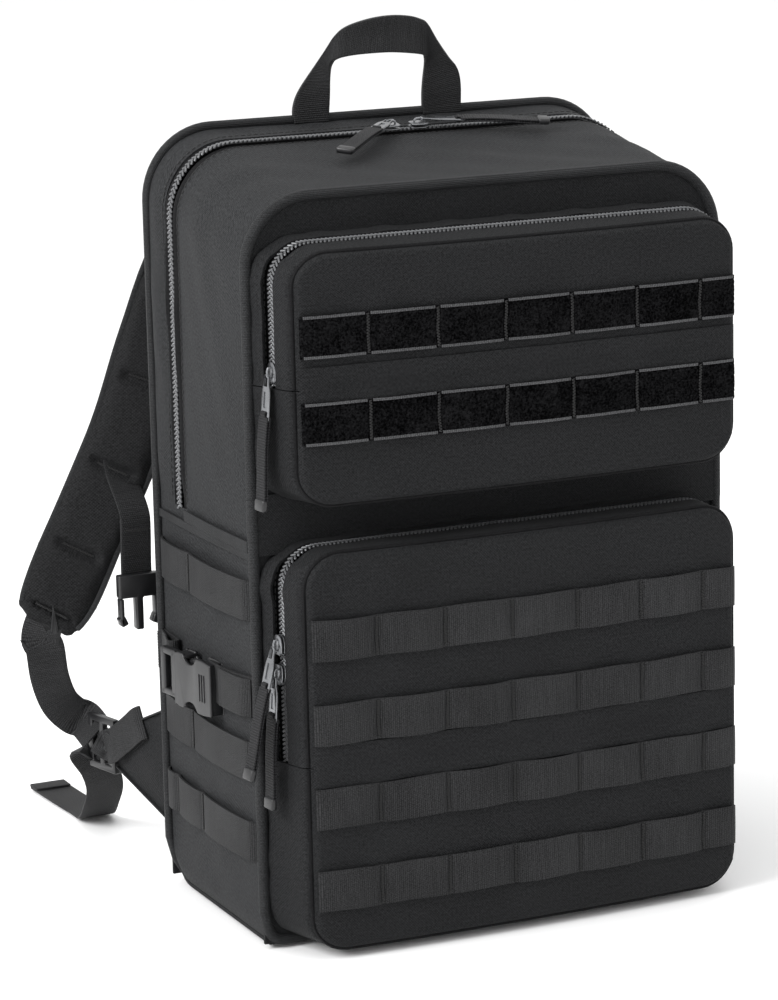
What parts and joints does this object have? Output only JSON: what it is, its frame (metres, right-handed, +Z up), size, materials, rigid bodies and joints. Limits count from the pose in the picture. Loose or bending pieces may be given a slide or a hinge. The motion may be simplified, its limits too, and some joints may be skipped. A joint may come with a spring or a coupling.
{
  "type": "trauma backpack",
  "caption": "Clamshell medical backpack with two front pockets, load webbing, compression buckles, grab handle and padded shoulder straps.",
  "frame": {"origin": "on the floor under the middle of the compartment, at the centre of its base panel", "axes": "+Z up, -Y towards the front with the pockets, +Y towards the wearer, +X to the right of someone looking at the front"},
  "size_m": [0.449, 0.4309, 0.5385],
  "materials": {
    "pack_fabric": "coarse plain weave nylon, charcoal black",
    "webbing": "flat ribbed nylon webbing",
    "loop_pile": "fuzzy loop pile with woven edges",
    "mesh_padding": "foam padding under fabric and spacer mesh",
    "zip_teeth": "silver-grey coil teeth on black tape",
    "zip_metal": "nickel-plated, satin",
    "buckle_plastic": "satin black acetal"
  },
  "bodies": {
    "root": {"back_panel": "pack_fabric", "rear_gusset": "pack_fabric", "base_panel": "pack_fabric", "front_panel": "pack_fabric", "side_panel_left": "pack_fabric", "side_panel_right": "pack_fabric", "shoulder_yoke": "pack_fabric", "lower_pocket_base": "pack_fabric", "strap_wing_left": "pack_fabric", "strap_wing_right": "pack_fabric", "back_pad": "mesh_padding", "load_webbing_3": "webbing", "load_webbing_4": "webbing", "compression_strap_left": "webbing", "compression_strap_right": "webbing", "strap_tail_left": "webbing", "strap_tail_right": "webbing", "lower_zip_chain": "zip_teeth", "buckle_housing_left": "buckle_plastic", "buckle_housing_right": "buckle_plastic", "buckle_plug_left": "buckle_plastic", "buckle_plug_right": "buckle_plastic"},
    "lid": {"lid_gusset": "pack_fabric", "lid_panel": "pack_fabric", "main_zip_chain": "zip_teeth", "upper_pocket_base": "pack_fabric", "upper_zip_chain": "zip_teeth", "loop_strip_2": "loop_pile"},
    "upper_flap": {"upper_pocket_flap": "pack_fabric", "loop_strip_1": "loop_pile"},
    "lower_flap": {"lower_pocket_flap": "pack_fabric", "load_webbing_1": "webbing", "load_webbing_2": "webbing"},
    "main_slider_left": {"main_slider_left": "zip_metal"},
    "main_pull_left": {"main_pull_left": "zip_metal"},
    "shoulder_left": {"shoulder_pad_left": "mesh_padding", "lower_strap_left": "webbing"},
    "ladder_lock_left": {"ladder_lock_left": "buckle_plastic"},
    "prong_upper_left": {"buckle_prong_upper_left": "buckle_plastic"},
    "prong_lower_left": {"buckle_prong_lower_left": "buckle_plastic"},
    "main_slider_right": {"main_slider_right": "zip_metal"},
    "main_pull_right": {"main_pull_right": "zip_metal"},
    "shoulder_right": {"shoulder_pad_right": "mesh_padding", "lower_strap_right": "webbing"},
    "ladder_lock_right": {"ladder_lock_right": "buckle_plastic"},
    "prong_upper_right": {"buckle_prong_upper_right": "buckle_plastic"},
    "prong_lower_right": {"buckle_prong_lower_right": "buckle_plastic"},
    "chest_left": {"chest_strap_left": "webbing", "chest_plug": "buckle_plastic"},
    "chest_right": {"chest_strap_right": "webbing", "chest_socket": "buckle_plastic"},
    "chest_prong_inner": {"chest_prong_inner": "buckle_plastic"},
    "chest_prong_outer": {"chest_prong_outer": "buckle_plastic"},
    "slider_upper": {"slider_upper": "zip_metal"},
    "pull_upper": {"pull_upper": "zip_metal"},
    "slider_lower_a": {"slider_lower_a": "zip_metal"},
    "pull_lower_a": {"pull_lower_a": "zip_metal"},
    "slider_lower_b": {"slider_lower_b": "zip_metal"},
    "pull_lower_b": {"pull_lower_b": "zip_metal"},
    "handle": {"grab_handle": "webbing"}
  },
  "joints": [
    {"name": "lid_fold", "type": "hinge", "parent": "root", "child": "lid", "pos_m": [0, -0.075, 0.25], "axis": [1, 0, 0], "range_deg": [0, 32]},
    {"name": "upper_flap_fold", "type": "hinge", "parent": "lid", "child": "upper_flap", "pos_m": [0, -0.115, 0.343], "axis": [1, 0, 0], "range_deg": [0, 90]},
    {"name": "lower_flap_fold", "type": "hinge", "parent": "root", "child": "lower_flap", "pos_m": [0, -0.117, 0.118], "axis": [1, 0, 0], "range_deg": [0, 90]},
    {"name": "main_slider_left_travel", "type": "slide", "parent": "lid", "child": "main_slider_left", "axis": [-1, 0, 0], "range_m": [0, 0.085]},
    {"name": "main_pull_left_lift", "type": "hinge", "parent": "main_slider_left", "child": "main_pull_left", "pos_m": [-0.01, 0.03601, 0.47674], "axis": [-0.7121, 0.6933, 0.1109], "range_deg": [0, 110]},
    {"name": "main_slider_right_travel", "type": "slide", "parent": "lid", "child": "main_slider_right", "axis": [1, 0, 0], "range_m": [0, 0.085]},
    {"name": "main_pull_right_lift", "type": "hinge", "parent": "main_slider_right", "child": "main_pull_right", "pos_m": [0.01, 0.03601, 0.47674], "axis": [-0.3102, -0.9387, -0.1502], "range_deg": [0, 110]},
    {"name": "slider_upper_travel", "type": "slide", "parent": "lid", "child": "slider_upper", "axis": [0, 0, 1], "range_m": [0, 0.045]},
    {"name": "pull_upper_lift", "type": "hinge", "parent": "slider_upper", "child": "pull_upper", "pos_m": [-0.1495, -0.09026, 0.352], "axis": [-0.1203, 0.9927, 0], "range_deg": [0, 90]},
    {"name": "slider_lower_a_travel", "type": "slide", "parent": "root", "child": "slider_lower_a", "axis": [0, 0, 1], "range_m": [0, 0.026]},
    {"name": "pull_lower_a_lift", "type": "hinge", "parent": "slider_lower_a", "child": "pull_lower_a", "pos_m": [-0.1506, -0.09022, 0.19], "axis": [-0.1135, 0.9935, 0], "range_deg": [0, 90]},
    {"name": "slider_lower_b_travel", "type": "slide", "parent": "root", "child": "slider_lower_b", "axis": [0, 0, -1], "range_m": [0, 0.044]},
    {"name": "pull_lower_b_lift", "type": "hinge", "parent": "slider_lower_b", "child": "pull_lower_b", "pos_m": [-0.1506, -0.09022, 0.172], "axis": [-0.1135, 0.9935, 0], "range_deg": [0, 90]},
    {"name": "handle_swing", "type": "hinge", "parent": "root", "child": "handle", "pos_m": [0, 0.069, 0.4782], "axis": [1, 0, 0], "range_deg": [-80, 60]},
    {"name": "prong_upper_left_squeeze", "type": "hinge", "parent": "root", "child": "prong_upper_left", "pos_m": [-0.16235, 0.027, 0.16475], "axis": [1, 0, 0], "range_deg": [0, 6], "stiffness_Nm_per_rad": 0.05},
    {"name": "prong_lower_left_squeeze", "type": "hinge", "parent": "root", "child": "prong_lower_left", "pos_m": [-0.16235, 0.027, 0.14675], "axis": [-1, 0, 0], "range_deg": [0, 6], "stiffness_Nm_per_rad": 0.05},
    {"name": "prong_upper_right_squeeze", "type": "hinge", "parent": "root", "child": "prong_upper_right", "pos_m": [0.16235, 0.027, 0.16475], "axis": [1, 0, 0], "range_deg": [0, 6], "stiffness_Nm_per_rad": 0.05},
    {"name": "prong_lower_right_squeeze", "type": "hinge", "parent": "root", "child": "prong_lower_right", "pos_m": [0.16235, 0.027, 0.14675], "axis": [-1, 0, 0], "range_deg": [0, 6], "stiffness_Nm_per_rad": 0.05},
    {"name": "shoulder_left_swing", "type": "hinge", "parent": "root", "child": "shoulder_left", "pos_m": [-0.06, 0.083, 0.458], "axis": [1, 0, 0], "range_deg": [0, 60]},
    {"name": "ladder_lock_left_tilt", "type": "hinge", "parent": "root", "child": "ladder_lock_left", "pos_m": [-0.16924, 0.131, 0.075], "axis": [0, 0, -1], "range_deg": [-20, 20]},
    {"name": "chest_left_swing", "type": "hinge", "parent": "shoulder_left", "child": "chest_left", "pos_m": [-0.157, 0.109, 0.26199], "axis": [0, 1, 0], "range_deg": [0, 70]},
    {"name": "shoulder_right_swing", "type": "hinge", "parent": "root", "child": "shoulder_right", "pos_m": [0.06, 0.083, 0.458], "axis": [1, 0, 0], "range_deg": [0, 60]},
    {"name": "ladder_lock_right_tilt", "type": "hinge", "parent": "root", "child": "ladder_lock_right", "pos_m": [0.16924, 0.131, 0.075], "axis": [0, 0, 1], "range_deg": [-20, 20]},
    {"name": "chest_right_swing", "type": "hinge", "parent": "shoulder_right", "child": "chest_right", "pos_m": [0.157, 0.109, 0.26199], "axis": [0, -1, 0], "range_deg": [0, 70]},
    {"name": "chest_prong_inner_squeeze", "type": "hinge", "parent": "chest_left", "child": "chest_prong_inner", "pos_m": [-0.1458, 0.1082, 0.17869], "axis": [0, 1, 0], "range_deg": [0, 8], "stiffness_Nm_per_rad": 0.03},
    {"name": "chest_prong_outer_squeeze", "type": "hinge", "parent": "chest_left", "child": "chest_prong_outer", "pos_m": [-0.1682, 0.1082, 0.17869], "axis": [0, -1, 0], "range_deg": [0, 8], "stiffness_Nm_per_rad": 0.03}
  ],
  "couplings": [
    {"joint": "prong_lower_left_squeeze", "follows": "prong_upper_left_squeeze", "ratio": 1},
    {"joint": "prong_lower_right_squeeze", "follows": "prong_upper_right_squeeze", "ratio": 1},
    {"joint": "chest_prong_outer_squeeze", "follows": "chest_prong_inner_squeeze", "ratio": 1},
    {"joint": "pull_lower_b_lift", "follows": "pull_lower_a_lift", "ratio": 1}
  ]
}
